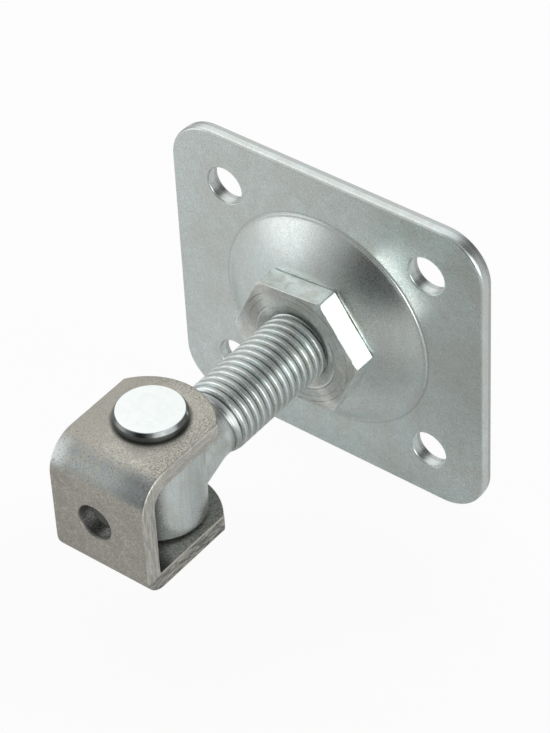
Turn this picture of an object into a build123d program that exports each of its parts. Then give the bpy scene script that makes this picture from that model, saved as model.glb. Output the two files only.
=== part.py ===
"""Adjustable door hinge: a pressed plate with a captive nut, a threaded eye bolt and a weld-on bracket."""
from build123d import *

import math
import os

# The frame: the origin is the middle of the plate's back face. The plate stands in the XZ plane and
# faces -Y, the bolt runs along -Y, and the hinge pin stands along Z. All sizes are in millimetres.

# Mounting plate
plate_width = 100.0
plate_height = 92.0
sheet = 4.0
plate_corner = 13.0
screw_hole_d = 11.0
screw_pitch_x = 65.0
screw_pitch_z = 60.0
sheared_edge = 0.7

# Dome pressed out of the plate
dome_base_d = 65.0
dome_seat_d = 38.0
dome_rise = 7.0
dome_foot_d = 74.0
hollow_cut = 1.0

# Thread of the bolt and the nut, drawn as plain cylinders
thread_d = 19.8
thread_clearance = 0.05

# Adjusting nut
nut_across_flats = 35.5
nut_height = 6.95
nut_turn = 5.0
nut_face_d = 34.4
nut_chamfer_angle = 24.0
countersink_d = 26.0
countersink_depth = 1.7
collar_d = 25.0
flare_d = 30.0
flare_height = 2.0
seat_gap = 0.05
running_clearance = 0.05

# Retaining washer
washer_d = 34.0
washer_thickness = 2.0

# Eye bolt
pin_distance = 75.6
bolt_end = 1.5
bolt_end_chamfer = 1.4
thread_stop = 53.0
neck_d = 18.0
flare_start = 57.5
neck_flare_end = 70.8
neck_flare_d = 23.5
neck_sweep_r = 14.0
eye_d = 25.4
eye_height = 25.0
eye_chamfer = 0.8

# Hinge pin
pin_d = 12.0
pin_head_d = 19.2
pin_head_height = 2.95
pin_head_land = 1.1
pin_head_top_d = 18.0
rivet_d = 17.0
rivet_height = 2.2

# U bracket
strap_width = 30.0
strap = 5.0
ear_gap = 0.75
web_distance = 22.6
bend_top_r = 4.5
bend_bottom_r = 0.8
ear_end_r = 18.5
ear_end_setback = 3.3
ear_hole_clearance = 0.05
web_hole_d = 10.5
web_hole_x = -1.3
web_hole_z = -0.8

# The bracket holds the eye between its ears, with a gap above and below
bracket_height = eye_height + 2 * (strap + ear_gap)

# Places along the bolt, counted from the plate's back face towards the bracket
plate_front = sheet
dome_top = sheet + dome_rise
dome_inside = dome_top - sheet
nut_back = dome_top + seat_gap
nut_front = nut_back + nut_height
washer_front = dome_inside - seat_gap
washer_back = washer_front - washer_thickness
flare_front = washer_back - seat_gap
flare_back = flare_front - flare_height
web_face = pin_distance + web_distance

# The dome's outside is a ball zone: one ball passes through the base ring and the seat ring.
base_r = dome_base_d / 2
seat_r = dome_seat_d / 2
dome_foot_r = dome_foot_d / 2
ball_depth = (base_r ** 2 - seat_r ** 2 - dome_rise ** 2) / (2 * dome_rise)
ball_r = math.hypot(base_r, ball_depth)
ball_y = ball_depth - sheet
inner_ball_r = ball_r - sheet
inner_base_r = math.sqrt(inner_ball_r ** 2 - ball_y ** 2)
inner_seat_r = math.sqrt(inner_ball_r ** 2 - (ball_y + dome_inside) ** 2)
dome_hole_r = collar_d / 2 + running_clearance
nut_bore_r = thread_d / 2 + thread_clearance


def on_ball(radius, angle):
    """A point of the ball zone's section, at an angle from the bolt axis."""
    return (radius * math.sin(angle), ball_y - radius * math.cos(angle))


def mid_angle(radius, r_wide, r_narrow):
    """The angle half way between two rings of the ball."""
    return (math.asin(r_wide / radius) + math.asin(r_narrow / radius)) / 2


# The plate: sheet outline, dome outside added, dome hollow taken away, then the holes
with BuildPart() as mounting_plate:
    with BuildSketch(Plane.XZ):
        RectangleRounded(plate_width, plate_height, plate_corner)
    extrude(amount=sheet)
    with BuildSketch(Plane.XY):
        with BuildLine():
            Polyline((0, -plate_front / 2), (0, -dome_top), (seat_r, -dome_top))
            ThreePointArc(
                (seat_r, -dome_top),
                on_ball(ball_r, mid_angle(ball_r, base_r, seat_r)),
                (base_r, -plate_front),
            )
            Polyline((base_r, -plate_front), (dome_foot_r, -plate_front), (dome_foot_r, -plate_front / 2))
            Line((dome_foot_r, -plate_front / 2), (0, -plate_front / 2))
        make_face()
    revolve(axis=Axis.Y)
    with BuildSketch(Plane.XY):
        with BuildLine():
            Polyline((dome_foot_r, 0), (dome_foot_r, hollow_cut), (0, hollow_cut))
            Polyline((0, hollow_cut), (0, -dome_inside), (inner_seat_r, -dome_inside))
            ThreePointArc(
                (inner_seat_r, -dome_inside),
                on_ball(inner_ball_r, mid_angle(inner_ball_r, inner_base_r, inner_seat_r)),
                (inner_base_r, 0),
            )
            Line((inner_base_r, 0), (dome_foot_r, 0))
        make_face()
    revolve(axis=Axis.Y, mode=Mode.SUBTRACT)
    with BuildSketch(Plane.XZ):
        Circle(dome_hole_r)
        with GridLocations(screw_pitch_x, screw_pitch_z, 2, 2):
            Circle(screw_hole_d / 2)
    extrude(amount=dome_top, mode=Mode.SUBTRACT)
    front = mounting_plate.faces().filter_by(Plane.XZ).filter_by_position(Axis.Y, -plate_front - 0.1, -plate_front + 0.1)
    chamfer(front.face().outer_wire().edges(), sheared_edge, sheared_edge / 2)
mounting_plate.part.label = "mounting_plate"

# The nut: a hexagon with a turned front, and a collar that goes through the dome and is flared over behind it
corner_r = nut_across_flats / 2 / math.cos(math.radians(30))
chamfer_drop = (corner_r - nut_face_d / 2) * math.tan(math.radians(nut_chamfer_angle))
with BuildPart() as adjusting_nut:
    with BuildSketch(Plane.XZ.offset(nut_back)):
        RegularPolygon(corner_r, 6, rotation=nut_turn)
    extrude(amount=nut_height)
    with BuildSketch(Plane.XY):
        with BuildLine():
            Polyline(
                (0, -nut_back),
                (corner_r + 1, -nut_back),
                (corner_r + 1, -nut_front + chamfer_drop + math.tan(math.radians(nut_chamfer_angle))),
                (nut_face_d / 2, -nut_front),
                (0, -nut_front),
                close=True,
            )
        make_face()
    revolve(axis=Axis.Y, mode=Mode.INTERSECT)
    with BuildSketch(Plane.XY):
        with BuildLine():
            Polyline(
                (nut_bore_r, -nut_back - 1),
                (collar_d / 2, -nut_back - 1),
                (collar_d / 2, -flare_front),
                (flare_d / 2, -flare_front),
                (flare_d / 2 - flare_height / 2, -flare_back),
                (nut_bore_r, -flare_back),
                close=True,
            )
        make_face()
    revolve(axis=Axis.Y)
    with BuildSketch(Plane.XY):
        with BuildLine():
            Polyline(
                (0, -flare_back + 1),
                (nut_bore_r, -flare_back + 1),
                (nut_bore_r, -nut_front + countersink_depth),
                (countersink_d / 2, -nut_front),
                (countersink_d / 2, -nut_front - 1),
                (0, -nut_front - 1),
                close=True,
            )
        make_face()
    revolve(axis=Axis.Y, mode=Mode.SUBTRACT)
adjusting_nut.part.label = "adjusting_nut"

# The washer behind the dome, between the sheet and the flared collar
with BuildPart() as retaining_washer:
    with BuildSketch(Plane.XZ.offset(washer_back)):
        Circle(washer_d / 2)
        Circle(collar_d / 2 + running_clearance, mode=Mode.SUBTRACT)
    extrude(amount=washer_thickness)
retaining_washer.part.label = "retaining_washer"

# The eye bolt: a turned rod, a forged neck that widens into the eye, and an upright round eye
thread_r = thread_d / 2
neck_r = neck_d / 2
run_out = (thread_r - neck_r) * 2
with BuildPart() as eye_bolt:
    with BuildSketch(Plane.XY):
        with BuildLine():
            Polyline(
                (0, -bolt_end),
                (thread_r - bolt_end_chamfer, -bolt_end),
                (thread_r, -bolt_end - bolt_end_chamfer),
                (thread_r, -thread_stop),
                (neck_r, -thread_stop - run_out),
                (neck_r, -flare_start),
                (neck_flare_d / 2, -neck_flare_end),
                (0, -neck_flare_end),
                close=True,
            )
        make_face()
        flare_corner = vertices().sort_by_distance((neck_r, -flare_start))[0]
        fillet(flare_corner, neck_sweep_r)
    revolve(axis=Axis.Y)
    with BuildSketch(Plane.XY.offset(-eye_height / 2)):
        with Locations((0, -pin_distance)):
            Circle(eye_d / 2)
    extrude(amount=eye_height)
    rims = eye_bolt.edges().filter_by(GeomType.CIRCLE).filter_by(lambda rim: abs(rim.radius - eye_d / 2) < 0.01)
    chamfer(rims, eye_chamfer)
    with BuildSketch(Plane.XY.offset(-eye_height / 2)):
        with Locations((0, -pin_distance)):
            Circle(pin_d / 2 + running_clearance)
    extrude(amount=eye_height, mode=Mode.SUBTRACT)
eye_bolt.part.label = "eye_bolt"

# The hinge pin: flat head above the upper ear, riveted end under the lower ear
head_bottom = bracket_height / 2
pin_axis = Axis((0, -pin_distance, 0), (0, 0, 1))
pin_plane = Plane(origin=(0, -pin_distance, 0), x_dir=(1, 0, 0), z_dir=(0, -1, 0))
with BuildPart() as hinge_pin:
    with BuildSketch(pin_plane):
        with BuildLine():
            Polyline(
                (0, -head_bottom - rivet_height),
                (rivet_d / 2 - rivet_height, -head_bottom - rivet_height),
                (rivet_d / 2, -head_bottom),
                (pin_d / 2, -head_bottom),
                (pin_d / 2, head_bottom),
                (pin_head_d / 2, head_bottom),
                (pin_head_d / 2, head_bottom + pin_head_land),
                (pin_head_top_d / 2, head_bottom + pin_head_height),
                (0, head_bottom + pin_head_height),
                close=True,
            )
        make_face()
    revolve(axis=pin_axis)
hinge_pin.part.label = "hinge_pin"

# The bracket: the folded strap's side profile, cut to the ears' outline seen from above
ear_tip = pin_distance + ear_end_setback - ear_end_r
half_height = bracket_height / 2
with BuildPart() as u_bracket:
    with BuildSketch(Plane.YZ):
        with BuildLine():
            Polyline(
                (-ear_tip, half_height),
                (-web_face, half_height),
                (-web_face, -half_height),
                (-ear_tip, -half_height),
                (-ear_tip, -half_height + strap),
                (-web_face + strap, -half_height + strap),
                (-web_face + strap, half_height - strap),
                (-ear_tip, half_height - strap),
                close=True,
            )
        make_face()
        web_corners = vertices().group_by(Axis.X)
        outer_low, outer_high = web_corners[0].sort_by(Axis.Y)
        inner_low, inner_high = web_corners[1].sort_by(Axis.Y)
        fillet(outer_high, bend_top_r + strap)
        fillet(inner_high, bend_top_r)
        fillet(outer_low, bend_bottom_r + strap)
        fillet(inner_low, bend_bottom_r)
    extrude(amount=strap_width / 2, both=True)
    with BuildSketch(Plane.XY.offset(-half_height - 1)):
        with Locations((0, -pin_distance - ear_end_setback)):
            Circle(ear_end_r)
            Rectangle(strap_width, web_distance + strap, align=(Align.CENTER, Align.MAX))
    extrude(amount=bracket_height + 2, mode=Mode.INTERSECT)
    with BuildSketch(Plane.XY.offset(-half_height)):
        with Locations((0, -pin_distance)):
            Circle(pin_d / 2 + ear_hole_clearance)
    extrude(amount=bracket_height, mode=Mode.SUBTRACT)
    with BuildSketch(Plane.XZ.offset(web_face - strap)):
        with Locations((web_hole_x, web_hole_z)):
            Circle(web_hole_d / 2)
    extrude(amount=strap, mode=Mode.SUBTRACT)
u_bracket.part.label = "u_bracket"

os.makedirs("parts", exist_ok=True)
for name in (mounting_plate, adjusting_nut, retaining_washer, eye_bolt, hinge_pin, u_bracket):
    export_step(name.part, f"parts/{name.part.label}.step")
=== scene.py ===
# %% [markdown]
# # An adjustable gate hinge, dressed for the camera
# The measured model of the hinge is loaded first, as a fixed frame. Every piece that the eye sees
# is then built again as a finer mesh at exactly the same place, because rolled edges, a screw
# thread and plated steel are what make metal look real. Each piece rides on the body that it
# belongs to, so the hinge still turns and screws.

import math

import bpy
import bmesh
from mathutils import Matrix, Vector


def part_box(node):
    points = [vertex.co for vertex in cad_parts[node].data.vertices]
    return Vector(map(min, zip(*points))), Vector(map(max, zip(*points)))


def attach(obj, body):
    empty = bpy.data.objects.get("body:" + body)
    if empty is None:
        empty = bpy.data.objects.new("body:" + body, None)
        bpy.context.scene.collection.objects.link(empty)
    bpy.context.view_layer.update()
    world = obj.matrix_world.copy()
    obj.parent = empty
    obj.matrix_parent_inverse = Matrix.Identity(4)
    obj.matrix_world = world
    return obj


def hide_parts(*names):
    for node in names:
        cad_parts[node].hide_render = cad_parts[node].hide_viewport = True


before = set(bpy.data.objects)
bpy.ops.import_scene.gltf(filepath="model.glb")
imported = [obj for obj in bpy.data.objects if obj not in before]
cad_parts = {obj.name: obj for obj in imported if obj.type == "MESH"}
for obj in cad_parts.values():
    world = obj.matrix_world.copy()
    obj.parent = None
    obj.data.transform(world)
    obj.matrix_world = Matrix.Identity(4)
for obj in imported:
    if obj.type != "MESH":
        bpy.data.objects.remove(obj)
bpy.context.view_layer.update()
print("nodes", sorted(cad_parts))

# %% [markdown]
# ## The frame's directions
# The origin is the middle of the plate's back face. The plate faces -Y, the bolt runs along -Y
# and the hinge pin stands along Z. Sizes are written in millimetres, as on a workshop drawing,
# and turned into metres in one place.

# %% Sizes that several pieces share
MM = 0.001
SHEET = 4.0
DOME_RISE = 7.0
DOME_TOP = SHEET + DOME_RISE
COLLAR_R = 12.5
BORE_R = 9.95
PIN_Y = -75.6
PIN_R = 6.0
PIN_HOLE_R = PIN_R + 0.05
HALF_HEIGHT = 18.25
print("pin axis at y", PIN_Y, "mm, ear faces at z", HALF_HEIGHT, "mm either way")

# %% [markdown]
# ## Helpers for rings of points
# Turned and stamped parts are rings joined by walls. A ring is a list of points with the same
# count as its neighbour, so a wall is one strip of four-sided faces. This keeps the mesh tidy,
# which keeps reflections clean: on polished metal, a stray long triangle shows as a smear.

# %% Rings, walls and caps
def add_ring(bm, points):
    """New mesh points for one ring, given in millimetres."""
    return [bm.verts.new(Vector(p) * MM) for p in points]


def join_rings(bm, ring_a, ring_b):
    """A wall of four-sided faces between two rings with equal counts."""
    count = len(ring_a)
    for i in range(count):
        k = (i + 1) % count
        bm.faces.new((ring_a[i], ring_a[k], ring_b[k], ring_b[i]))


def add_walls(bm, rings, closed=False):
    """Rings with a wall from each to the next, and from the last to the first if closed."""
    loops = [add_ring(bm, ring) for ring in rings]
    for ring_a, ring_b in zip(loops, loops[1:]):
        join_rings(bm, ring_a, ring_b)
    if closed:
        join_rings(bm, loops[-1], loops[0])
    return loops


def circle(radius, count):
    """A circle as pairs of numbers, to be laid about any axis."""
    turns = [2 * math.pi * i / count for i in range(count)]
    return [(radius * math.sin(a), radius * math.cos(a)) for a in turns]


def ring_about_bolt(radius, y, count):
    """A circle about the bolt's axis."""
    return [(u, y, v) for u, v in circle(radius, count)]


def ring_about_pin(radius, z, count):
    """A circle about the hinge pin."""
    return [(v, PIN_Y + u, z) for u, v in circle(radius, count)]


print("a ring about the pin starts at", ring_about_pin(PIN_R, 0.0, 4)[0])

# %% [markdown]
# Every corner on the hinge is a little round, and that round is what catches the light. A round
# is found from its corner and the two neighbours of the corner: its middle lies on the line that
# halves the angle. Rounding the section before it's turned is simpler than bevelling the mesh.

# %% Rounded corners of a section
def rounded(corner, before, after, radius, steps=5):
    """Points of a small round at a corner, between the corner's two neighbours."""
    c = Vector(corner)
    u = (Vector(before) - c).normalized()
    v = (Vector(after) - c).normalized()
    half = u.angle(v) / 2
    reach = radius / math.tan(half)
    middle = c + (u + v).normalized() * (radius / math.sin(half))
    start = (c + u * reach - middle).normalized()
    end = (c + v * reach - middle).normalized()
    return [tuple(middle + start.slerp(end, i / steps) * radius) for i in range(steps + 1)]


print("points of a round", len(rounded((0, 0), (1, 0), (0, 1), 0.2)))

# %% [markdown]
# ## Turning a mesh into a piece
# A piece is smooth where the metal is smooth and has a hard line only at real corners. Weighted
# normals let the large flat faces win over the tiny rounds beside them, so the flats reflect like
# flats.

# %% Finish a mesh as a piece of the hinge
def finish_piece(bm, name, body, node, corner_angle=32):
    """Makes the object, shades it, seats it on its body and lets it stand for its node."""
    bmesh.ops.remove_doubles(bm, verts=bm.verts, dist=1e-6)
    bmesh.ops.recalc_face_normals(bm, faces=bm.faces)
    mesh = bpy.data.meshes.new(name)
    bm.to_mesh(mesh)
    bm.free()
    for polygon in mesh.polygons:
        polygon.use_smooth = True
    mesh.set_sharp_from_angle(angle=math.radians(corner_angle))
    piece = bpy.data.objects.new(name, mesh)
    bpy.context.scene.collection.objects.link(piece)
    weighted = piece.modifiers.new("even shading", "WEIGHTED_NORMAL")
    weighted.keep_sharp = True
    weighted.weight = 60
    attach(piece, body)
    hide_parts(node)
    print(name, "faces", len(mesh.polygons))
    return piece


# %% [markdown]
# ## The mounting plate
# The real plate is stamped from 4 mm sheet. A punch rolls the front edge over, shears the middle
# clean and tears the last part, and a second die presses the dome. Here the edge is a stack of
# outlines, each a little further in or out, which draws that roll and tear. A bevel would give
# every edge the same even round, which stamping doesn't.

# %% Outlines of the plate
PLATE_HALF_X = 50.0
PLATE_HALF_Z = 46.0
PLATE_CORNER = 13.0


def plate_outline(inset, y, steps=18):
    """The plate's rounded rectangle, drawn in by an inset."""
    radius = PLATE_CORNER - inset
    points = []
    for quarter, (sx, sz) in enumerate(((1, 1), (1, -1), (-1, -1), (-1, 1))):
        cx = sx * (PLATE_HALF_X - PLATE_CORNER)
        cz = sz * (PLATE_HALF_Z - PLATE_CORNER)
        for i in range(steps + 1):
            a = math.pi / 2 * (quarter + i / steps)
            points.append((cx + radius * math.sin(a), y, cz + radius * math.cos(a)))
    return points


STAMPED_EDGE = [
    (0.95, -4.0), (0.70, -3.98), (0.45, -3.91), (0.25, -3.78), (0.10, -3.58), (0.02, -3.30),
    (0.0, -2.95), (0.0, -1.62), (0.07, -1.48), (0.13, -1.30), (0.16, -0.35), (0.24, -0.12),
    (0.42, 0.0),
]
print("edge outlines", len(STAMPED_EDGE), "from inset", STAMPED_EDGE[0][0], "mm")

# %% [markdown]
# The four screw holes are punched the same way, so each is a stack of circles that is wider at
# both mouths.

# %% Screw holes of the plate
HOLE_R = 5.5
HOLE_X = 32.5
HOLE_Z = 30.0
PUNCHED_HOLE = [
    (0.45, -4.0), (0.24, -3.95), (0.08, -3.80), (0.0, -3.55), (0.0, -0.30), (0.08, -0.08),
    (0.22, 0.0),
]


def screw_hole(cx, cz, widen, y, count=48):
    """One ring of a screw hole."""
    return [(cx + u, y, cz + v) for u, v in circle(HOLE_R + widen, count)]


print("screw holes", 2 * HOLE_R, "mm wide, at", 2 * HOLE_X, "by", 2 * HOLE_Z, "mm")

# %% [markdown]
# The dome is a zone of a ball: its section is one arc, from the plate to a flat seat for the nut.
# Where the die's edge bit the sheet there is a short steeper wall, less than half a millimetre
# high, which catches a thin light. The sheet keeps its thickness, so the hollow behind is a zone
# of a smaller ball about the same centre.

# %% Section of the dome
DOME_BASE_R = 32.5
DOME_SEAT_R = 19.0
BALL_DEPTH = (DOME_BASE_R ** 2 - DOME_SEAT_R ** 2 - DOME_RISE ** 2) / (2 * DOME_RISE)
BALL_R = math.hypot(DOME_BASE_R, BALL_DEPTH)
BALL_Y = BALL_DEPTH - SHEET
SEAT_BACK = SHEET - DOME_TOP
NUT_HOLE_R = COLLAR_R + 0.1
SHOULDER_ROUND = 6.5
BACK_BEND_ROUND = 2.5
DOME_FOOT_R = 36.6
PRESSED_FOOT = [
    (33.4, -4.0), (32.9, -4.01), (32.66, -4.05), (32.52, -4.17), (32.42, -4.40),
    (32.25, -4.50), (31.95, -4.55),
]


def ball_arc(radius, r_wide, r_narrow, steps=14):
    """Points of the ball's section, from its wide ring to its narrow ring."""
    a0 = math.asin(r_wide / radius)
    a1 = math.asin(r_narrow / radius)
    turns = [a0 + (a1 - a0) * i / steps for i in range(steps + 1)]
    return [(radius * math.sin(a), BALL_Y - radius * math.cos(a)) for a in turns]


def dome_section():
    """From the foot in front, over the dome and through the nut's hole, to the foot behind."""
    inner_r = BALL_R - SHEET
    inner_base = math.sqrt(inner_r ** 2 - BALL_Y ** 2)
    inner_seat = math.sqrt(inner_r ** 2 - (BALL_Y - SEAT_BACK) ** 2)
    outside = ball_arc(BALL_R, DOME_BASE_R, DOME_SEAT_R)
    inside = ball_arc(inner_r, inner_base, inner_seat)
    front_foot = (DOME_FOOT_R, -SHEET)
    back_foot = (DOME_FOOT_R, 0.0)
    hole_front = (NUT_HOLE_R, -DOME_TOP)
    hole_back = (NUT_HOLE_R, SEAT_BACK)
    shoulder = rounded(outside[-1], outside[-4], (COLLAR_R, -DOME_TOP), SHOULDER_ROUND, 8)
    back_bend = rounded(inside[0], back_foot, inside[3], BACK_BEND_ROUND, 6)
    hole_edge = rounded(hole_front, (DOME_SEAT_R, -DOME_TOP), hole_back, 0.4, 3)
    front = [front_foot] + PRESSED_FOOT + outside[1:-2] + shoulder + hole_edge
    behind = [hole_back] + inside[:1:-1] + back_bend[::-1] + [back_foot]
    return front + behind


section = dome_section()
print("ball radius", round(BALL_R, 2), "section points", len(section))

# %% [markdown]
# The flat of the plate is one sheet with five openings. The holes and the dome are built as walls
# first, and the flat faces are then filled in between them. Cutting holes out of a finished box
# would leave long thin faces, which smear the reflections.

# %% Build the mounting plate
def fill_between(bm, rings):
    """Flat faces between an outer ring and the rings inside it."""
    edges = []
    for ring in rings:
        for pair in zip(ring, ring[1:] + ring[:1]):
            edges.append(bm.edges.get(pair) or bm.edges.new(pair))
    bmesh.ops.triangle_fill(bm, use_beauty=True, use_dissolve=False, edges=edges)


def build_plate():
    bm = bmesh.new()
    walls = [add_walls(bm, [plate_outline(inset, y) for inset, y in STAMPED_EDGE])]
    for sx in (-1, 1):
        for sz in (-1, 1):
            hole = [screw_hole(sx * HOLE_X, sz * HOLE_Z, w, y) for w, y in PUNCHED_HOLE]
            walls.append(add_walls(bm, hole))
    walls.append(add_walls(bm, [ring_about_bolt(r, y, 144) for r, y in section]))
    fill_between(bm, [wall[0] for wall in walls])
    fill_between(bm, [wall[-1] for wall in walls])
    return bm


plate = finish_piece(build_plate(), "domed_plate", "plate", "mounting_plate")

# %% [markdown]
# ## The nut
# A low hexagon nut sits on the dome. Its front was faced and chamfered in a lathe, so the cone of
# the chamfer cuts off only the six corner tips. Each ring here is either a circle or the hexagon,
# with the same count of points, and the chamfer's depth follows each point's distance from the
# axis, which draws those cut tips by itself.

# %% The hexagon
NUT_FLATS = 35.5
NUT_TURN = math.radians(5.0)
PER_SIDE = 24
PER_CORNER = 5


def hexagon_points(inset, corner_round=0.55):
    """The nut's outline, with slightly rounded corners, as (x, z) pairs."""
    apothem = NUT_FLATS / 2 - inset
    corner = (apothem - corner_round) / math.cos(math.pi / 6)

    def on_corner(a, b):
        """The point in direction b on the round of the corner at a."""
        x = corner * math.cos(a) + corner_round * math.cos(b)
        return x, corner * math.sin(a) + corner_round * math.sin(b)

    out = []
    free = PER_SIDE - PER_CORNER
    for side in range(6):
        a = NUT_TURN + math.radians(60 * side)
        for i in range(PER_CORNER):
            out.append(on_corner(a, a + math.radians(-30 + 60 * i / (PER_CORNER - 1))))
        a_next = a + math.radians(60)
        x0, z0 = out[-1]
        x1, z1 = on_corner(a_next, a_next - math.radians(30))
        for i in range(1, free + 1):
            t = i / (free + 1)
            out.append((x0 + (x1 - x0) * t, z0 + (z1 - z0) * t))
    return out


HEX = hexagon_points(0.0)
HEX_TURNS = [math.atan2(z, x) for x, z in HEX]
print("hexagon points", len(HEX), "to", round(max(math.hypot(x, z) for x, z in HEX), 2), "mm")

# %% Rings of the nut
NUT_FRONT = -18.0
NUT_BACK = -11.05
NUT_FACE_R = 19.5
CHAMFER_SLOPE = math.tan(math.radians(24))


def nut_circle(radius, y):
    """A circle whose points stand at the same angles as the hexagon's."""
    return [(radius * math.cos(a), y, radius * math.sin(a)) for a in HEX_TURNS]


def nut_hexagon(inset, y, follows_chamfer=0.0):
    """The hexagon at one height, or along the chamfer's cone."""
    ring = []
    for x, z in hexagon_points(inset):
        drop = max(math.hypot(x, z) - NUT_FACE_R, 0) * CHAMFER_SLOPE
        ring.append((x, y + drop * follows_chamfer, z))
    return ring


def nut_face_edge(y):
    """The hexagon just inside its edge, with the tips drawn in to the chamfer's circle."""
    ring = []
    for x, z in hexagon_points(0.30):
        shrink = min(1.0, (NUT_FACE_R - 0.05) / math.hypot(x, z))
        ring.append((x * shrink, y, z * shrink))
    return ring


print("points in a ring of the nut", len(nut_face_edge(NUT_FRONT)))

# %% [markdown]
# The bore is countersunk at the front. Behind, a turned collar goes through the dome and is
# flared over the retaining washer, which is what keeps the nut captive while it turns. Rings run
# from the bore's mouth, over the front, down the flats, and along the collar to the flare, and
# then back through the bore.

# %% Build the nut
COUNTERSINK = [(BORE_R, -17.25), (12.55, -17.84), (12.75, -17.96), (13.0, -18.0)]
WASHER_FRONT = -6.95
WASHER_BACK = -4.95
FLARE_R = 15.0
FLARE_FRONT = -4.9
FLARE_BACK = -2.9
FLARE = [
    (COLLAR_R, FLARE_FRONT),
    (FLARE_R, FLARE_FRONT),
    (FLARE_R, -3.6),
    (13.9, FLARE_BACK),
    (BORE_R + 0.5, FLARE_BACK),
    (BORE_R, -3.4),
]
FLARE_ROUNDS = [0.3, 0.5, 0.6]


def flare_profile():
    """The flared end of the collar, with its first three corners rounded."""
    corners = zip(FLARE, FLARE[1:], FLARE[2:], FLARE_ROUNDS)
    rounds = [rounded(corner, before, after, r, 4) for before, corner, after, r in corners]
    return FLARE[:1] + sum(rounds, []) + FLARE[4:]


def build_nut():
    bm = bmesh.new()
    rings = [nut_circle(r, y) for r, y in COUNTERSINK]
    rings += [nut_circle(r, NUT_FRONT) for r in (15.0, 16.9)]
    rings.append(nut_face_edge(NUT_FRONT))
    rings.append(nut_hexagon(0.13, NUT_FRONT + 0.01, 1.0))
    rings.append(nut_hexagon(0.0, NUT_FRONT + 0.14, 1.0))
    for inset, above_dome in ((0.0, 0.5), (0.12, 0.15), (0.45, 0.0)):
        rings.append(nut_hexagon(inset, NUT_BACK - above_dome))
    rings += [nut_circle(r, NUT_BACK) for r in (COLLAR_R + 1.2, COLLAR_R)]
    rings.append(nut_circle(COLLAR_R, WASHER_BACK))
    rings += [nut_circle(r, y) for r, y in flare_profile()]
    add_walls(bm, rings, closed=True)
    return bm


nut = finish_piece(build_nut(), "captive_nut", "nut", "adjusting_nut", 24)

# %% [markdown]
# ## The retaining washer
# A plain ring behind the dome. Only its rim shows, from behind, so it's a turned profile with
# softened corners.

# %% Build the washer
WASHER_R = 17.0


def build_washer():
    bm = bmesh.new()
    back, front = (WASHER_R, WASHER_BACK), (WASHER_R, WASHER_FRONT)
    profile = [(COLLAR_R + 0.05, WASHER_BACK - 0.25), (COLLAR_R + 0.25, WASHER_BACK)]
    profile += rounded(back, (14.0, WASHER_BACK), front, 0.45, 4)
    profile += rounded(front, back, (14.0, WASHER_FRONT), 0.25, 3)
    profile.append((COLLAR_R + 0.05, WASHER_FRONT))
    add_walls(bm, [ring_about_bolt(r, y, 96) for r, y in profile], closed=True)
    return bm


washer = finish_piece(build_washer(), "washer_ring", "plate", "retaining_washer")

# %% [markdown]
# ## The eye bolt's thread
# The thread is real here, not a pattern of rings: one ridge winds round the rod, 2.5 mm forward
# for each turn. Its section is sampled across one pitch, and each sample runs along its own
# helix. Where the thread starts and where it runs out into the neck, the section is squeezed
# towards a smooth rod. At the neck the ridge sinks first and the groove fills a little later.

# %% Section and run-out of the thread
PITCH = 2.5
CREST_R = 9.9
ROOT_R = 8.75
NECK_R = 9.0
END_R = CREST_R - 1.4
THREAD_END = -1.5
THREAD_STOP = -56.4
RIDGE_SINKS = (-51.4, -54.6)
GROOVE_FILLS = (-53.6, THREAD_STOP + 0.2)
HALF_SECTION = [
    (0.40, CREST_R),
    (0.57, CREST_R - 0.01),
    (0.66, CREST_R - 0.05),
    (0.74, CREST_R - 0.16),
    (1.07, ROOT_R + 0.18),
    (1.15, ROOT_R + 0.04),
]
THREAD_SECTION = [(0.0, CREST_R)] + HALF_SECTION + [(PITCH / 2, ROOT_R)]
THREAD_SECTION += [(PITCH - offset, radius) for offset, radius in HALF_SECTION[::-1]]


def smooth_step(a, b, value):
    """Runs softly from 0 at a to 1 at b."""
    t = min(max((value - a) / (b - a), 0.0), 1.0)
    return t * t * (3 - 2 * t)


def thread_radius(y, radius):
    """The thread's radius at a place, squeezed at both ends of the thread."""
    ridge = max(radius - NECK_R, 0.0) * (1.0 - smooth_step(*RIDGE_SINKS, y))
    groove = min(radius - NECK_R, 0.0) * (1.0 - smooth_step(*GROOVE_FILLS, y))
    end_cone = END_R + (THREAD_END - y)
    return min(NECK_R + ridge + groove, max(end_cone, CREST_R - 1.45))


print("turns of thread", round((THREAD_END - THREAD_STOP) / PITCH, 1))

# %% Wind the thread
AROUND = 96
NO_AREA = 2e-7


def thread_column(i):
    """The skin's points along one line of the rod, from its free end to the neck."""
    turns = int((THREAD_END - THREAD_STOP) / PITCH) + 3
    a = 2 * math.pi * i / AROUND
    points = []
    for turn in range(turns):
        for offset, radius in THREAD_SECTION:
            y = THREAD_END + PITCH * (1 + i / AROUND) - PITCH * turn - offset
            y = min(max(y, THREAD_STOP), THREAD_END)
            r = thread_radius(y, radius)
            points.append((r * math.sin(a), y, r * math.cos(a)))
    return points


def wind_thread(bm):
    """The helical skin of the rod. Faces pressed flat at either end are left out."""
    columns = [add_ring(bm, thread_column(i)) for i in range(AROUND + 1)]
    for left, right in zip(columns, columns[1:]):
        for k in range(len(left) - 1):
            a, b, c, d = left[k], left[k + 1], right[k + 1], right[k]
            if (a.co - b.co).length + (c.co - d.co).length > NO_AREA:
                bm.faces.new((a, b, c, d))
    bmesh.ops.remove_doubles(bm, verts=bm.verts, dist=2e-6)


print("points in a column", len(thread_column(0)))

# %% [markdown]
# The forged end is simpler: the neck widens like a horn and runs into an upright round eye. The
# horn and the eye are turned about different axes, so they meet in a visible crease, as on the
# real forging.

# %% Build the eye bolt
EYE_R = 12.7
EYE_TOP = 12.5
HORN_END = (11.75, -70.8)


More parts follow.
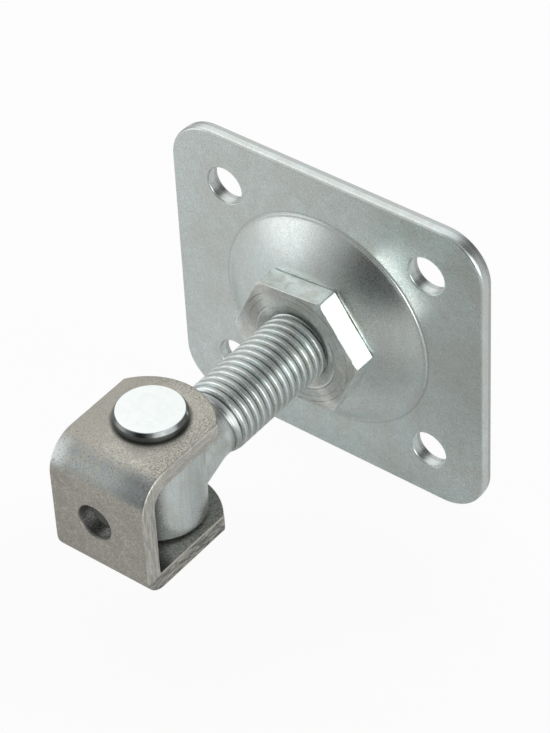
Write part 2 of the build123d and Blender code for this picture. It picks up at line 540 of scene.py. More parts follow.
def horn_profile():
    """The neck and the horn, from the thread's run-out into the eye."""
    bend = rounded((NECK_R, -57.5), (NECK_R, -50.0), HORN_END, 14.0, 8)
    return [(NECK_R, THREAD_STOP)] + bend + [(10.2, -63.3), (11.0, -67.2), HORN_END, (6.5, -71.2)]


def eye_profile():
    """The eye's skin, from the bore's upper mouth, round the outside, to its lower mouth."""
    top = [(PIN_HOLE_R, EYE_TOP - 0.4), (PIN_R + 0.45, EYE_TOP)]
    side = rounded((EYE_R, EYE_TOP), (9.0, EYE_TOP), (EYE_R, 0.0), 0.9, 6)
    side += [(EYE_R, 6.0), (EYE_R, 0.0), (EYE_R, -6.0)]
    side += rounded((EYE_R, -EYE_TOP), (EYE_R, 0.0), (9.0, -EYE_TOP), 0.9, 6)
    return top + side + [(r, -z) for r, z in top[::-1]]


def build_bolt():
    bm = bmesh.new()
    wind_thread(bm)
    end = add_walls(bm, [ring_about_bolt(r, THREAD_END, AROUND) for r in (END_R, 6.0, 2.0)])
    bm.faces.new(end[-1])
    add_walls(bm, [ring_about_bolt(r, y, AROUND) for r, y in horn_profile()])
    add_walls(bm, [ring_about_pin(r, z, 128) for r, z in eye_profile()], closed=True)
    return bm


bolt = finish_piece(build_bolt(), "eye_bolt_thread", "bolt", "eye_bolt", 40)

# %% [markdown]
# ## The hinge pin
# A turned pin with a flat head. The head's rim has a short straight land and a soft chamfer, and
# the far end is riveted into a low button under the lower ear.

# %% Build the pin
HEAD_R = 9.6
HEAD_TOP = 21.2
RIVET_END = -20.45


def build_pin():
    bm = bmesh.new()
    profile = [(0.6, HEAD_TOP), (5.0, HEAD_TOP)]
    profile += rounded((8.85, HEAD_TOP), (5.0, HEAD_TOP), (HEAD_R, 20.2), 0.35, 5)
    profile += rounded((HEAD_R, 20.1), (8.95, 21.0), (HEAD_R, HALF_HEIGHT), 0.9, 6)
    profile += rounded((HEAD_R, HALF_HEIGHT), (HEAD_R, 19.2), (7.0, HALF_HEIGHT), 0.35, 3)
    profile += [(PIN_R, HALF_HEIGHT), (PIN_R, -HALF_HEIGHT)]
    profile += rounded((8.5, -HALF_HEIGHT), (7.0, -HALF_HEIGHT), (6.4, -20.4), 0.3, 3)
    profile += rounded((6.6, -20.4), (8.3, -18.5), (3.0, RIVET_END), 1.2, 4)
    profile += [(3.0, -20.4), (0.6, RIVET_END)]
    loops = add_walls(bm, [ring_about_pin(r, z, 96) for r, z in profile])
    bm.faces.new(loops[0])
    bm.faces.new(loops[-1])
    return bm


pin = finish_piece(build_pin(), "flat_head_pin", "bracket", "hinge_pin")

# %% [markdown]
# ## The bracket
# The bracket is made as in the press shop: a flat blank with round ends and three holes is cut
# first, and then folded twice. The blank is drawn flat, cut across at many lines in the two
# bends, and every point is then carried to its place along the folded path. Holes and edges stay
# right through the bends, which a bent box wouldn't give.

# %% The folded path
STRAP = 5.0
STRAP_HALF = 15.0
WEB_FACE = -98.2
WEB_MID = WEB_FACE + STRAP / 2
EAR_MID = HALF_HEIGHT - STRAP / 2
EAR_R = 18.5
EAR_Y = -78.9
EAR_TIP = EAR_Y + EAR_R
TOP_BEND_R = 4.5 + STRAP / 2
LOW_BEND_R = 0.8 + STRAP / 2

TOP_RUN = EAR_TIP - (WEB_MID + TOP_BEND_R)
TOP_BEND = TOP_BEND_R * math.pi / 2
WEB_TOP = EAR_MID - TOP_BEND_R
WEB_LOW = LOW_BEND_R - EAR_MID
WEB_START = TOP_RUN + TOP_BEND
WEB_RUN = WEB_TOP - WEB_LOW
LOW_START = WEB_START + WEB_RUN
LOW_BEND = LOW_BEND_R * math.pi / 2
LOW_RUN = EAR_TIP - (WEB_MID + LOW_BEND_R)
BLANK_LENGTH = LOW_START + LOW_BEND + LOW_RUN
print("flat blank", round(BLANK_LENGTH, 1), "mm long")

# %% Fold a place on the blank
def fold(s, out):
    """Carries a run from the upper ear's tip, and a height off mid-sheet, to (y, z)."""
    if s <= TOP_RUN:
        return EAR_TIP - s, EAR_MID + out
    if s <= WEB_START:
        a = (s - TOP_RUN) / TOP_BEND_R
        r = TOP_BEND_R + out
        return WEB_MID + TOP_BEND_R - r * math.sin(a), WEB_TOP + r * math.cos(a)
    if s <= LOW_START:
        return WEB_MID - out, WEB_TOP - (s - WEB_START)
    if s <= LOW_START + LOW_BEND:
        a = (s - LOW_START) / LOW_BEND_R
        r = LOW_BEND_R + out
        return WEB_MID + LOW_BEND_R - r * math.cos(a), WEB_LOW - r * math.sin(a)
    return WEB_MID + LOW_BEND_R + (s - LOW_START - LOW_BEND), -EAR_MID - out


print("the lower ear ends at y", round(fold(BLANK_LENGTH, 0.0)[0], 2), "mm")

# %% [markdown]
# The strap was cut in a shear, so its edge rolls over on one face and tears on the other, like
# the plate's but less even. The blank's outline is the two round ends, with straight sides
# between them, and it's stacked from one face to the other.

# %% The flat blank and its edges
SHEARED_STRAP = [
    (0.55, 2.5), (0.30, 2.46), (0.12, 2.34), (0.02, 2.12), (0.0, 1.80), (0.0, 0.30),
    (0.05, 0.14), (0.10, -0.10), (0.12, -2.10), (0.18, -2.35), (0.32, -2.5),
]


def ear_arc(inset, steps=36):
    """An ear's round end as (run from the tip, x), from one corner to the other."""
    radius = EAR_R - inset
    a_corner = math.asin((STRAP_HALF - inset) / radius)
    turns = [-a_corner + 2 * a_corner * i / steps for i in range(steps + 1)]
    return [(EAR_R - radius * math.cos(a), radius * math.sin(a)) for a in turns]


def blank_outline(inset, out):
    """The whole outline of the blank: one ear's end, and then the other's."""
    upper = [(run, x, out) for run, x in ear_arc(inset)]
    lower = [(BLANK_LENGTH - run, -x, out) for run, x in ear_arc(inset)]
    return upper + lower


print("blank outline points", len(blank_outline(0.0, 0.0)))

# %% Holes of the blank
WEB_HOLE_X = -1.3
WEB_HOLE_Z = -0.8
WEB_HOLE_R = 5.25
PIN_RUN = EAR_TIP - PIN_Y
STRAP_HOLES = [
    (PIN_RUN, 0.0, PIN_HOLE_R),
    (BLANK_LENGTH - PIN_RUN, 0.0, PIN_HOLE_R),
    (WEB_START + WEB_TOP - WEB_HOLE_Z, WEB_HOLE_X, WEB_HOLE_R),
]
STRAP_HOLE = [(0.35, 2.5), (0.14, 2.44), (0.0, 2.20), (0.0, -2.25), (0.15, -2.45), (0.28, -2.5)]


def blank_hole(centre, x0, radius, out, count=56):
    """One ring of a hole in the blank."""
    return [(centre + u, x0 + v, out) for u, v in circle(radius, count)]


print("hole runs", [round(hole[0], 1) for hole in STRAP_HOLES])

# %% Build the bracket
def cut_across(bm, s):
    """Cuts the blank along a line across it, so that it can bend there."""
    everything = bm.verts[:] + bm.edges[:] + bm.faces[:]
    place = (s * MM, 0, 0)
    bmesh.ops.bisect_plane(bm, geom=everything, dist=1e-7, plane_co=place, plane_no=(1, 0, 0))


def build_bracket():
    bm = bmesh.new()
    walls = [add_walls(bm, [blank_outline(inset, out) for inset, out in SHEARED_STRAP])]
    for centre, x0, radius in STRAP_HOLES:
        hole = [blank_hole(centre, x0, radius + w, out) for w, out in STRAP_HOLE]
        walls.append(add_walls(bm, hole))
    fill_between(bm, [wall[0] for wall in walls])
    fill_between(bm, [wall[-1] for wall in walls])
    for start, length, parts in ((TOP_RUN, TOP_BEND, 16), (LOW_START, LOW_BEND, 12)):
        for i in range(parts + 1):
            cut_across(bm, start + length * i / parts)
    for vert in bm.verts:
        s, x, out = vert.co / MM
        vert.co = Vector((x, *fold(s, out))) * MM
    return bm


bracket = finish_piece(build_bracket(), "folded_bracket", "bracket", "u_bracket")

# %% [markdown]
# ## Finishes
# All the metal here is steel, in four states: zinc-plated sheet, zinc-plated forging, bright
# turned steel and bare rolled strap. What tells them apart is small: how blurred the reflections
# are, how the plating is mottled, and how the rolled skin is pitted. Patterns are laid out in
# millimetres on the piece itself, so they stay put when the hinge moves.

# %% A tree of nodes
class Nodes:
    """The kinds of node that make and blend patterns, in one tree of nodes."""

    def __init__(self, tree, place):
        self.nodes = tree.nodes
        self.links = tree.links
        self.place = self.nodes.new("ShaderNodeTexCoord").outputs[place]

    def spread(self, value, low, high, out_low=0.0, out_high=1.0):
        """Maps a range of values to another with a soft start and end, and holds the ends."""
        node = self.nodes.new("ShaderNodeMapRange")
        node.interpolation_type = "SMOOTHSTEP"
        node.inputs["From Min"].default_value = low
        node.inputs["From Max"].default_value = high
        node.inputs["To Min"].default_value = out_low
        node.inputs["To Max"].default_value = out_high
        self.links.new(value, node.inputs["Value"])
        return node.outputs["Result"]

    def combine(self, a, b, how="MULTIPLY"):
        """One sum of two values. A value is a number or an output."""
        node = self.nodes.new("ShaderNodeMath")
        node.operation = how
        for value, socket in ((a, node.inputs[0]), (b, node.inputs[1])):
            if isinstance(value, (int, float)):
                socket.default_value = value
            else:
                self.links.new(value, socket)
        return node.outputs[0]

    def tint(self, amount, first, second):
        """Blends two colours. A colour is three numbers, or the output of another tint."""
        node = self.nodes.new("ShaderNodeMix")
        node.data_type = "RGBA"
        self.links.new(amount, node.inputs["Factor"])
        for value, name in ((first, "A"), (second, "B")):
            socket = [s for s in node.inputs if s.name == name and s.type == "RGBA"][0]
            if isinstance(value, tuple):
                socket.default_value = (*value, 1)
            else:
                self.links.new(value, socket)
        return [s for s in node.outputs if s.type == "RGBA"][0]

    def facing(self, where, direction):
        """How far a place or a ray goes in one direction."""
        node = self.nodes.new("ShaderNodeVectorMath")
        node.operation = "DOT_PRODUCT"
        node.inputs[1].default_value = direction
        self.links.new(where, node.inputs[0])
        return node.outputs["Value"]

    def seen_by_camera(self):
        """1 for what the camera sees directly, and 0 for what the metal mirrors."""
        return self.nodes.new("ShaderNodeLightPath").outputs["Is Camera Ray"]

    def blend(self, amount, first, second):
        """Blends two shaders."""
        node = self.nodes.new("ShaderNodeMixShader")
        for value, socket in zip((amount, first, second), node.inputs):
            self.links.new(value, socket)
        return node.outputs[0]


print("kinds of node", [name for name in vars(Nodes) if not name.startswith("_")])

# %% [markdown]
# Much of what a metal shows depends on where it is: dirt sits in the roots of the thread, and a
# shear tears only the far part of an edge. So a metal also measures places in millimetres: a
# coordinate, a distance from an axis, and a band between two of either. The bands could be
# painted by hand, but measured ones stay right when a size is changed. A finish starts from one
# colour, and lays the others over it one by one.

# %% A metal
class Metal(Nodes):
    """A material whose patterns follow distances on the piece."""

    def __init__(self, name, colour, metallic=1.0, roughness=0.5):
        self.material = bpy.data.materials.new(name)
        self.material.use_nodes = True
        super().__init__(self.material.node_tree, "Object")
        self.shader = self.nodes["Principled BSDF"]
        self.shader.inputs["Base Color"].default_value = (*colour, 1)
        self.shader.inputs["Metallic"].default_value = metallic
        self.shader.inputs["Roughness"].default_value = roughness

    def stretched(self, sx, sy, sz):
        """Places on the piece in patterns per millimetre along X, Y and Z."""
        node = self.nodes.new("ShaderNodeMapping")
        node.inputs["Scale"].default_value = (sx / MM, sy / MM, sz / MM)
        self.links.new(self.place, node.inputs["Vector"])
        return node.outputs["Vector"]

    def noise(self, per_mm, detail=3, rough=0.55, distort=0.0):
        """A cloudy pattern from 0 to 1. per_mm is its scale, one number or one for each axis."""
        scales = per_mm if isinstance(per_mm, tuple) else (per_mm, per_mm, per_mm)
        node = self.nodes.new("ShaderNodeTexNoise")
        node.inputs["Scale"].default_value = 1.0
        node.inputs["Detail"].default_value = detail
        node.inputs["Roughness"].default_value = rough
        node.inputs["Distortion"].default_value = distort
        self.links.new(self.stretched(*scales), node.inputs["Vector"])
        return node.outputs["Fac"]

    def axis(self, letter):
        """One coordinate on the piece, in millimetres."""
        node = self.nodes.new("ShaderNodeSeparateXYZ")
        self.links.new(self.stretched(1, 1, 1), node.inputs[0])
        return node.outputs[letter]

    def reach(self, first="X", second="Z", centre=(0.0, 0.0)):
        """Distance from an axis in millimetres: the bolt's, or one given by two letters."""
        squares = []
        for letter, middle in zip((first, second), centre):
            offset = self.combine(self.axis(letter), middle, "SUBTRACT")
            squares.append(self.combine(offset, 2.0, "POWER"))
        return self.combine(self.combine(squares[0], squares[1], "ADD"), 0.5, "POWER")

    def rings(self, spacing):
        """A wave from 0 to 1 in rings about the bolt's axis."""
        turns = self.combine(self.reach(), 2 * math.pi / spacing)
        wave = self.combine(turns, 0.0, "SINE")
        return self.combine(self.combine(wave, 0.5), 0.5, "ADD")

    def band(self, value, start, full, fall, end, strength=1.0):
        """Full strength where a value lies between full and fall, and 0 beyond start and end."""
        rise = self.spread(value, start, full, 0.0, strength)
        return self.combine(rise, self.spread(value, fall, end, 1.0, 0.0))

    def drive(self, socket, output):
        """Lets a pattern set one of the shader's inputs."""
        self.links.new(output, self.shader.inputs[socket])

    def lay(self, amount, colour):
        """Lays one more colour over those before it, as strongly as the amount says."""
        socket = self.shader.inputs["Base Color"]
        before = socket.links[0].from_socket if socket.links else tuple(socket.default_value[:3])
        self.drive("Base Color", self.tint(amount, before, colour))

    def bump(self, height, strength, distance_mm):
        """Lays one more relief over those before it."""
        node = self.nodes.new("ShaderNodeBump")
        node.inputs["Strength"].default_value = strength
        node.inputs["Distance"].default_value = distance_mm * MM
        self.links.new(height, node.inputs["Height"])
        before = self.shader.inputs["Normal"].links
        if before:
            self.links.new(before[0].from_socket, node.inputs["Normal"])
        self.drive("Normal", node.outputs["Normal"])


print("measures and uses", [name for name in vars(Metal) if not name.startswith("_")])

# %% [markdown]
# ** Zinc on sheet.** Bright zinc has a bluish grey colour and a cloudy, slightly brown bloom. Its
# reflections are blurred unevenly, which the eye reads as fine grain. Three noises do this:
# clouds of a centimetre and blotches of a few millimetres for the bloom, and one of tenths of a
# millimetre for the grain. A dark line is painted along the dome's foot as the shade in its
# crease, and a dark band lies on the torn part of the edge.

# %% Zinc on the plate
sheet = Metal("zinc on sheet", (0.74, 0.82, 0.81))
clouds = sheet.noise((0.07, 0.07, 0.05), 5, 0.65, 0.8)
blotches = sheet.noise((0.35, 0.35, 0.30), 4, 0.7, 0.4)
grain = sheet.noise(2.4, 3, 0.75)
sheet.lay(sheet.spread(clouds, 0.40, 0.62), (0.70, 0.725, 0.69))
sheet.lay(sheet.spread(blotches, 0.50, 0.70, 0.0, 0.7), (0.66, 0.67, 0.63))
# painted shade: a dark line along the crease at the dome's foot
sheet.lay(sheet.band(sheet.reach(), 32.35, 32.75, 32.9, 33.4, 0.4), (0.34, 0.36, 0.35))
torn_band = sheet.band(sheet.axis("Y"), -1.62, -1.42, -0.20, -0.04, 0.75)
sheet.lay(torn_band, (0.40, 0.42, 0.41))
sheet.lay(sheet.spread(grain, 0.36, 0.64, 0.0, 0.6), (0.56, 0.61, 0.60))
sheet.drive("Roughness", sheet.spread(grain, 0.25, 0.75, 0.22, 0.36))
sheet.bump(grain, 0.55, 0.05)
plate.data.materials.append(sheet.material)
print("zinc sheet nodes", len(sheet.nodes))

# %% [markdown]
# **Zinc on the nut.** The flats are brighter than the sheet and only slightly grained. In front
# of y -17.2 the lathe has left fine grooves round the axis. A groove pattern is a wave of the
# distance from the axis, and distance needs only the two coordinates across it.

# %% Zinc on the nut and washer
zinc = Metal("zinc on the nut", (0.90, 0.95, 0.94))
nut_clouds = zinc.noise(0.25, 4, 0.65, 0.6)
nut_grain = zinc.noise(3.0, 3, 0.7)
zinc.lay(zinc.spread(nut_clouds, 0.40, 0.62), (0.78, 0.79, 0.755))
zinc.drive("Roughness", zinc.spread(nut_grain, 0.25, 0.75, 0.20, 0.34))
turned_end = zinc.spread(zinc.axis("Y"), -17.2, -17.6)
zinc.bump(nut_grain, 0.30, 0.03)
zinc.bump(zinc.combine(zinc.rings(0.9), turned_end), 0.5, 0.03)
nut.data.materials.append(zinc.material)
washer.data.materials.append(zinc.material)
print("zinc nut nodes", len(zinc.nodes))

# %% [markdown]
# **The nut's turned front.** Grooves too fine to see smear a reflection across themselves, so a
# turned face shows bright and dark sectors like a record. An anisotropic shader does this, once
# its tangent is told to run round the bolt's axis. A few deeper marks are drawn as dark arcs, and
# a slow noise breaks them off, because no tool mark runs all the way round.

# %% Turned zinc on the nut's front
turned = Metal("turned zinc", (0.80, 0.84, 0.82))
turned_clouds = turned.noise(0.20, 4, 0.7, 0.5)
turned_grain = turned.noise(1.6, 3, 0.7)
turned.lay(turned.spread(turned_clouds, 0.40, 0.60), (0.70, 0.70, 0.655))
turned.lay(turned.spread(turned_grain, 0.45, 0.70, 0.0, 0.6), (0.52, 0.54, 0.52))
from_bore = turned.reach()
unbroken = turned.spread(turned.noise(0.12, 2, 0.5), 0.42, 0.60)
for arc_r, strength in ((13.1, 0.75), (15.3, 0.5), (17.0, 0.75)):
    arc = turned.band(from_bore, arc_r - 0.16, arc_r - 0.04, arc_r + 0.04, arc_r + 0.2, strength)
    turned.lay(turned.combine(arc, unbroken), (0.22, 0.23, 0.225))
turned.drive("Roughness", turned.spread(turned_grain, 0.25, 0.75, 0.42, 0.54))
turned.shader.inputs["Anisotropic"].default_value = 0.95
round_bolt = turned.nodes.new("ShaderNodeTangent")
round_bolt.direction_type = "RADIAL"
round_bolt.axis = "Y"
turned.drive("Tangent", round_bolt.outputs["Tangent"])
turned.bump(turned.rings(1.1), 0.5, 0.02)
turned.bump(turned_grain, 0.35, 0.03)
nut.data.materials.append(turned.material)
front_faces = [p for p in nut.data.polygons if p.normal.y < -0.95 and p.center.y < -17.3 * MM]
for polygon in front_faces:
    polygon.material_index = 1
print("turned faces", len(front_faces), "nodes", len(turned.nodes))

# %% [markdown]
# **Zinc on the forging.** The bolt's plating is a little cloudy, with faint streaks down the eye.
# The eye's far side, which faces the bracket's web, is painted dark as shade, and there the
# shader is also told that less of it is metal.

# %% Zinc on the forging
forging = Metal("zinc on the forging", (0.76, 0.83, 0.825))
forge_clouds = forging.noise((0.22, 0.22, 0.10), 3, 0.6, 0.4)
forge_grain = forging.noise(3.2, 2, 0.6)
streaks = forging.noise((1.3, 1.3, 0.05), 2, 0.5)
forging.lay(forging.spread(forge_clouds, 0.40, 0.62), (0.70, 0.73, 0.70))
forging.lay(forging.spread(streaks, 0.45, 0.65, 0.0, 0.35), (0.62, 0.63, 0.59))
bolt_y = forging.axis("Y")
# painted shade: the eye's far side, towards the web, is laid dark and less metallic
eye_back_shade = forging.spread(bolt_y, -83.0, -86.0, 0.0, 0.9)
forging.drive("Metallic", forging.spread(eye_back_shade, 0.0, 0.9, 1.0, 0.2))
forging.bump(forge_grain, 0.25, 0.02)
bolt.data.materials.append(forging.material)
print("zinc forging nodes", len(forging.nodes))

# %% [markdown]
# ** Marks on the thread.** The roots are laid darker, by the distance from the axis. One edge of
# each crest gets a painted highlight, and its middle is made rougher and painted darker as shade.
# To find a place on the ridge, the angle round the axis is turned into a length along the pitch
# and taken from y, and what is left after whole pitches is the distance from the crest.

# %% Painted light on the crests, and darker roots
in_thread = forging.spread(bolt_y, -57.0, -54.0)
angle = forging.combine(forging.axis("X"), forging.axis("Z"), "ARCTAN2")
wound = forging.combine(angle, PITCH / (2 * math.pi))
along_pitch = forging.combine(wound, bolt_y, "SUBTRACT")
along_pitch = forging.combine(along_pitch, THREAD_END + PITCH / 2, "ADD")
along_pitch = forging.combine(along_pitch, PITCH, "FLOORED_MODULO")
from_crest = forging.combine(along_pitch, PITCH / 2, "SUBTRACT")
# painted shade: the middle of each crest is laid darker, and it is also made rougher
dull_shaded_crest = forging.combine(forging.band(from_crest, -0.8, -0.6, 0.10, 0.32), in_thread)
forging.lay(forging.combine(dull_shaded_crest, 0.8), (0.50, 0.535, 0.53))
# painted highlight: a bright line along one edge of each crest, broken up by a noise
crest_highlight = forging.combine(forging.band(from_crest, 0.28, 0.42, 0.60, 0.78), in_thread)
highlight_breaks = forging.spread(forging.noise(0.45, 3, 0.7, 0.6), 0.40, 0.60, 0.05, 0.80)
forging.lay(forging.combine(crest_highlight, highlight_breaks), (0.94, 1.0, 0.99))
# the roots are laid darker, by the distance from the axis
dark_roots = forging.combine(in_thread, forging.spread(forging.reach(), 9.35, 8.82))
forging.lay(dark_roots, (0.22, 0.24, 0.235))
forging.lay(eye_back_shade, (0.08, 0.085, 0.08))
blur = forging.spread(forge_grain, 0.25, 0.75, 0.22, 0.34)
forging.drive("Roughness", forging.combine(blur, forging.combine(dull_shaded_crest, 0.18), "ADD"))
print("zinc forging nodes with wear", len(forging.nodes))

# %% [markdown]
# ** Bright turned steel.** The pin's head is the brightest thing on the hinge. Its flat top has
# the bright steel colour; the rim below it is painted dark as shade. A faint cloud keeps the top
# from being one even tone.

# %% Bright steel on the pin
# painted shade: the pin is dark steel everywhere except its flat top
steel = Metal("bright turned steel", (0.20, 0.215, 0.215))
pin_clouds = steel.spread(steel.noise(0.5, 3, 0.6), 0.40, 0.65)
polished = steel.tint(pin_clouds, (0.85, 0.89, 0.88), (0.82, 0.86, 0.85))
steel.lay(steel.spread(steel.axis("Z"), HEAD_TOP - 0.2, HEAD_TOP - 0.02), polished)
steel.drive("Roughness", steel.spread(steel.noise(4.0, 2, 0.6), 0.25, 0.75, 0.16, 0.26))
pin.data.materials.append(steel.material)
print("pin steel nodes", len(steel.nodes))

# %% [markdown]
# **Bare rolled strap.** The bracket isn't plated, because it's to be welded. Its rolled skin is
# brown-grey and uneven at three scales: clouds, blots and grain. Each scale is one noise that
# lays a second colour over the one before.

# %% Bare steel on the bracket
strap = Metal("bare rolled strap", (0.64, 0.62, 0.54), 0.9)
strap_clouds = strap.noise(0.13, 4, 0.65, 0.7)
strap_blots = strap.noise(0.55, 4, 0.75, 0.6)
strap_grain = strap.noise(2.4, 3, 0.8)
strap.lay(strap.spread(strap_clouds, 0.36, 0.64), (0.52, 0.505, 0.445))
strap.lay(strap.spread(strap_blots, 0.46, 0.64, 0.0, 0.75), (0.78, 0.76, 0.675))
strap.lay(strap.spread(strap_grain, 0.40, 0.62, 0.7, 0.0), (0.37, 0.36, 0.325))
across_x, along_y, up_z = [strap.axis(letter) for letter in "XYZ"]
print("strap skin nodes", len(strap.nodes))

# %% [markdown]
# Over the upper bend the skin was stretched in the press, and it is smoother there. It gets a
# painted bluish sheen, a painted highlight at one end and painted shade at the other. The upper
# ear is painted darker as shade towards its left side.

# %% Painted shade on the ear, and painted light on the stretched bend
on_ear = strap.spread(up_z, 15.5, 18.0)
# painted shade: the upper ear laid darker towards its left side
ear_shade = strap.combine(on_ear, strap.spread(across_x, 1.0, -11.0, 0.0, 0.75))
strap.lay(ear_shade, (0.40, 0.385, 0.34))
bend = strap.combine(strap.spread(along_y, -90.5, -95.0), strap.spread(up_z, 10.8, 13.5))
# painted sheen: a bluish tint over the bend, broken up by the blots
bend_sheen = strap.combine(bend, strap.spread(strap_blots, 0.42, 0.56, 0.30, 1.0))
strap.lay(bend_sheen, (0.42, 0.46, 0.46))
# painted shade: the bend laid darker at its right end
bend_shade = strap.combine(bend, strap.spread(across_x, 2.0, 11.0, 0.0, 0.85))
strap.lay(bend_shade, (0.22, 0.245, 0.25))
# painted highlight: the bend laid bright at its left end
bend_highlight = strap.combine(bend, strap.spread(across_x, -9.0, -13.8, 0.0, 0.85))
strap.lay(bend_highlight, (0.86, 0.90, 0.90))
print("nodes with the bend", len(strap.nodes))

# %% [markdown]
# Dark pits show where scale was rolled in, most of all near the ear's edge and end. A pit is a
# low place in a noise, so raising the level near those edges makes more and larger ones. Round
# the pin's head a dark ring is painted, as the shadow under its rim.

# %% Pits and the painted shadow round the pin's head
pits = strap.noise(2.3, 3, 0.8)
near_edge = strap.spread(across_x, 6.0, 13.5, 0.0, 0.065)
near_end = strap.spread(along_y, -68.0, -61.0, 0.0, 0.065)
more_pits = strap.combine(near_edge, near_end, "MAXIMUM")
pit_mask = strap.spread(strap.combine(pits, more_pits, "SUBTRACT"), 0.37, 0.44, 1.0, 0.0)
pitted = strap.combine(pit_mask, strap.spread(up_z, 9.0, 15.0, 0.30, 0.85))
strap.lay(pitted, (0.17, 0.165, 0.15))
from_pin = strap.reach("X", "Y", (0.0, PIN_Y))
# painted shadow: a dark ring on the ear round the pin's head
head_shadow = strap.combine(on_ear, strap.spread(from_pin, 9.7, 10.9, 0.8, 0.0))
strap.lay(head_shadow, (0.08, 0.08, 0.075))
print("nodes with pits", len(strap.nodes))

# %% [markdown]
# The sheared edges are lighter, and streaked the way the shear tore them: down the web, and along
# the ears. Stretching a noise along one axis makes streaks. The lower ear's edge is rougher and
# darker than the others.

# %% The sheared edges
side = strap.spread(across_x, STRAP_HALF - 0.4, STRAP_HALF - 0.15)
down_streaks = strap.noise((0.5, 1.5, 0.16), 3, 0.7, 0.5)
along_streaks = strap.noise((0.5, 0.22, 1.3), 3, 0.7, 0.9)
ear_streaks = strap.spread(along_streaks, 0.40, 0.60)
web_streaks = strap.spread(down_streaks, 0.40, 0.60)
low_streaks = strap.spread(along_streaks, 0.42, 0.56)
torn = strap.tint(ear_streaks, (0.80, 0.78, 0.705), (0.56, 0.55, 0.505))
torn_web = strap.tint(web_streaks, (0.80, 0.78, 0.70), (0.50, 0.50, 0.465))
torn_low = strap.tint(low_streaks, (0.16, 0.175, 0.18), (0.60, 0.575, 0.50))
torn = strap.tint(strap.spread(along_y, -91.0, -94.0), torn, torn_web)
torn = strap.tint(strap.spread(up_z, -13.0, -14.0), torn, torn_low)
torn = strap.tint(strap.spread(strap_grain, 0.40, 0.60, 0.45, 0.0), torn, (0.34, 0.34, 0.32))
strap.lay(side, torn)
print("nodes with edges", len(strap.nodes))

# %% [markdown]
# Inside the fold the steel is painted dark as shade, and darkest in the corner behind the web and
# on the side away from the light. The web's hole is painted dark as shade too. Both are found by
# bands of the three coordinates, which is simpler than a separate material for those faces.

# %% Painted shade on the hole's wall and inside the fold
mottled = strap.spread(pits, 0.42, 0.58)
in_web = strap.band(along_y, -97.7, -97.2, -92.8, -92.6)
from_hole = strap.reach("X", "Z", (WEB_HOLE_X, WEB_HOLE_Z))
# painted shade: the wall of the web's hole laid dark
hole_shade = strap.combine(in_web, strap.spread(from_hole, 5.45, 5.6, 1.0, 0.0))
strap.lay(hole_shade, strap.tint(mottled, (0.10, 0.104, 0.104), (0.34, 0.34, 0.33)))
z_squared = strap.combine(up_z, 2.0, "POWER")
inside_z = strap.spread(z_squared, 13.2 ** 2, 13.5 ** 2, 1.0, 0.0)
inside = strap.combine(strap.spread(along_y, -93.6, -93.3), inside_z)
inside = strap.combine(inside, strap.spread(side, 0.0, 1.0, 1.0, 0.0))
# painted shade inside the fold: darkest in the corner behind the web and on the left side
corner_shade = strap.spread(along_y, -86.0, -91.0, 0.0, 0.85)
far_side_shade = strap.spread(across_x, -1.0, -6.0, 0.0, 0.95)
deepest_shade = strap.combine(corner_shade, far_side_shade, "MAXIMUM")
inner_shade = strap.tint(mottled, (0.18, 0.185, 0.18), (0.40, 0.40, 0.375))
strap.lay(inside, strap.tint(deepest_shade, inner_shade, (0.035, 0.036, 0.035)))
strap.drive("Roughness", strap.spread(bend, 0.0, 1.0, 0.46, 0.34))
strap.bump(pits, 0.6, 0.07)
strap.bump(strap_grain, 0.45, 0.05)
bracket.data.materials.append(strap.material)
print("strap nodes", len(strap.nodes))

# %% [markdown]
# ## Floor, light and camera
# The photograph is a cut-out on white, so the floor is pale and runs out of the picture. The
# camera sees it almost white, with only a hint of the shadow left. The metal sees its real,
# softer tone, which is what the plate's front mirrors. That tone dims to the right because the
# studio did, and comes back a little further out.

# %% The floor
FLOOR_HALF = 0.42
floor_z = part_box("mounting_plate")[0].z
bm = bmesh.new()
bmesh.ops.create_grid(bm, x_segments=8, y_segments=8, size=FLOOR_HALF)
floor_mesh = bpy.data.meshes.new("pale_floor")
bm.to_mesh(floor_mesh)
bm.free()
floor = bpy.data.objects.new("pale_floor", floor_mesh)
floor.location.z = floor_z
bpy.context.scene.collection.objects.link(floor)
print("floor at z", round(floor_z / MM, 1), "mm")

# %% The floor's tone
CAMERA_WHITE = 0.93
ground = Metal("pale floor", (0.96, 0.96, 0.96), 0.0, 0.6)
to_right = ground.facing(ground.stretched(1, 1, 1), (1.0, -0.83, 0.0))
dims = ground.spread(to_right, -8.0, 40.0)
recovers = ground.spread(to_right, 60.0, 125.0, 1.0, 0.45)
ahead = ground.spread(ground.axis("Y"), -10.0, -45.0, 0.10, 1.0)
shaded = ground.combine(ground.combine(dims, recovers), ahead)
ground.lay(shaded, (0.63, 0.63, 0.63))
glow = ground.nodes.new("ShaderNodeEmission")
glow.inputs["Strength"].default_value = 1.0
white_share = ground.combine(ground.seen_by_camera(), CAMERA_WHITE)
floor_look = ground.blend(white_share, ground.shader.outputs[0], glow.outputs[0])
ground.links.new(floor_look, ground.nodes["Material Output"].inputs["Surface"])
floor_mesh.materials.append(ground.material)
print("floor nodes", len(ground.nodes))

# %% [markdown]
# The light is a soft tent with broad patches. Metal shows what a mirrored ray would meet, so each
# patch was placed by that ray. The dome's upper left mirrors the left front, and its upper right
# mirrors straight ahead, where the tent is darkened. The rod's middle mirrors the upper back,
# which is dark too. The nut's right face mirrors the plate, and the plate the right front.
#
# A lamp would leave a hard spot on metal this bright. A patch in the tent fades at its rim: each
# line gives a direction, where the patch begins and where it's full, as the cosine of the angle
# to that direction, and the strength that it adds. A negative strength takes light away.

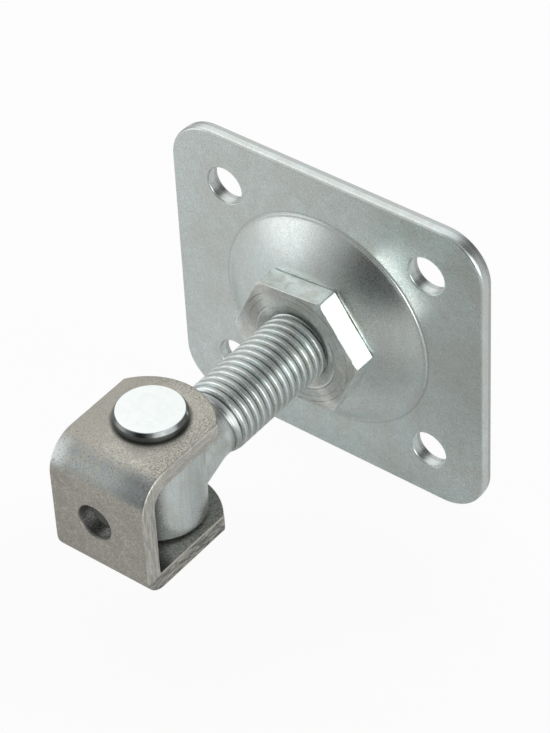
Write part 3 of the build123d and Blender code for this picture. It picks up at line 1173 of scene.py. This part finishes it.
# %% The soft tent
TENT_BASE = 0.42
LOBES = [
    ("top, behind on the left", (-0.48, 0.58, 0.66), 0.66, 0.97, 0.58),
    ("upper left", (-0.66, 0.15, 0.74), 0.88, 0.98, 0.45),
    ("left front, high", (-0.74, -0.50, 0.46), 0.78, 0.97, 0.40),
    ("left front, level", (-0.80, -0.60, 0.05), 0.90, 0.985, 0.70),
    ("right front", (0.84, -0.48, 0.28), 0.93, 0.99, 2.4),
    ("right", (0.95, 0.02, 0.30), 0.88, 0.98, 2.0),
    ("dark ahead", (0.17, -0.96, 0.17), 0.905, 0.965, -0.39),
    ("dark above behind", (0.42, 0.58, 0.70), 0.86, 0.98, -0.30),
]
world = bpy.data.worlds.new("soft tent")
bpy.context.scene.world = world
world.use_nodes = True
world.node_tree.nodes.clear()
tent = Nodes(world.node_tree, "Generated")
brightness = TENT_BASE
for name, direction, begins, full, strength in LOBES:
    towards = tent.facing(tent.place, Vector(direction).normalized())
    lobe = tent.spread(towards, begins, full, 0.0, strength)
    lobe.node.label = name
    brightness = tent.combine(brightness, lobe, "ADD")
print("lobes", len(LOBES))

# %% [markdown]
# The camera itself looks past the tent at plain white, as in the cut-out photograph.

# %% Show the tent to the metal, and white to the camera
tent_light = tent.nodes.new("ShaderNodeBackground")
tent_light.inputs["Color"].default_value = (1, 1, 1, 1)
tent.links.new(brightness, tent_light.inputs["Strength"])
white = tent.nodes.new("ShaderNodeBackground")
white.inputs["Color"].default_value = (1, 1, 1, 1)
white.inputs["Strength"].default_value = 1.0
sky = tent.blend(tent.seen_by_camera(), tent_light.outputs[0], white.outputs[0])
tent.links.new(sky, tent.nodes.new("ShaderNodeOutputWorld").inputs["Surface"])
bpy.context.scene.view_settings.view_transform = "Standard"
print("tent nodes", len(tent.nodes))

# %% [markdown]
# The camera was found from the photograph: about fifty edges and corners of the hinge were
# measured there, and the viewpoint, the lens and the sizes were fitted together. A long lens
# stands 0.79 m away, up on the right, and is rolled by about three degrees.

# %% The camera
VIEWPOINT = Vector((0.3981, -0.5062, 0.5500))
AIM = Vector((0.01946, -0.0500, 0.02641))
ROLL = math.radians(-3.21)
FOCAL_PIXELS = 3198.6
LONG_SIDE = 733
SENSOR = 36.0
forward = (AIM - VIEWPOINT).normalized()
right = forward.cross(Vector((0, 0, 1))).normalized()
up = right.cross(forward)
rolled_right = right * math.cos(ROLL) + up * math.sin(ROLL)
rolled_up = up * math.cos(ROLL) - right * math.sin(ROLL)
turned_to = Matrix((rolled_right, rolled_up, -forward)).transposed().to_4x4()
lens = bpy.data.cameras.new("photo view")
lens.sensor_fit = "AUTO"
lens.sensor_width = SENSOR
lens.lens = FOCAL_PIXELS * SENSOR / LONG_SIDE
lens.clip_start = 0.01
camera = bpy.data.objects.new("photo view", lens)
camera.matrix_world = Matrix.Translation(VIEWPOINT) @ turned_to
bpy.context.scene.collection.objects.link(camera)
bpy.context.scene.camera = camera
print("lens", round(lens.lens, 1), "mm,", round((AIM - VIEWPOINT).length, 2), "m to the aim")

# %% [markdown]
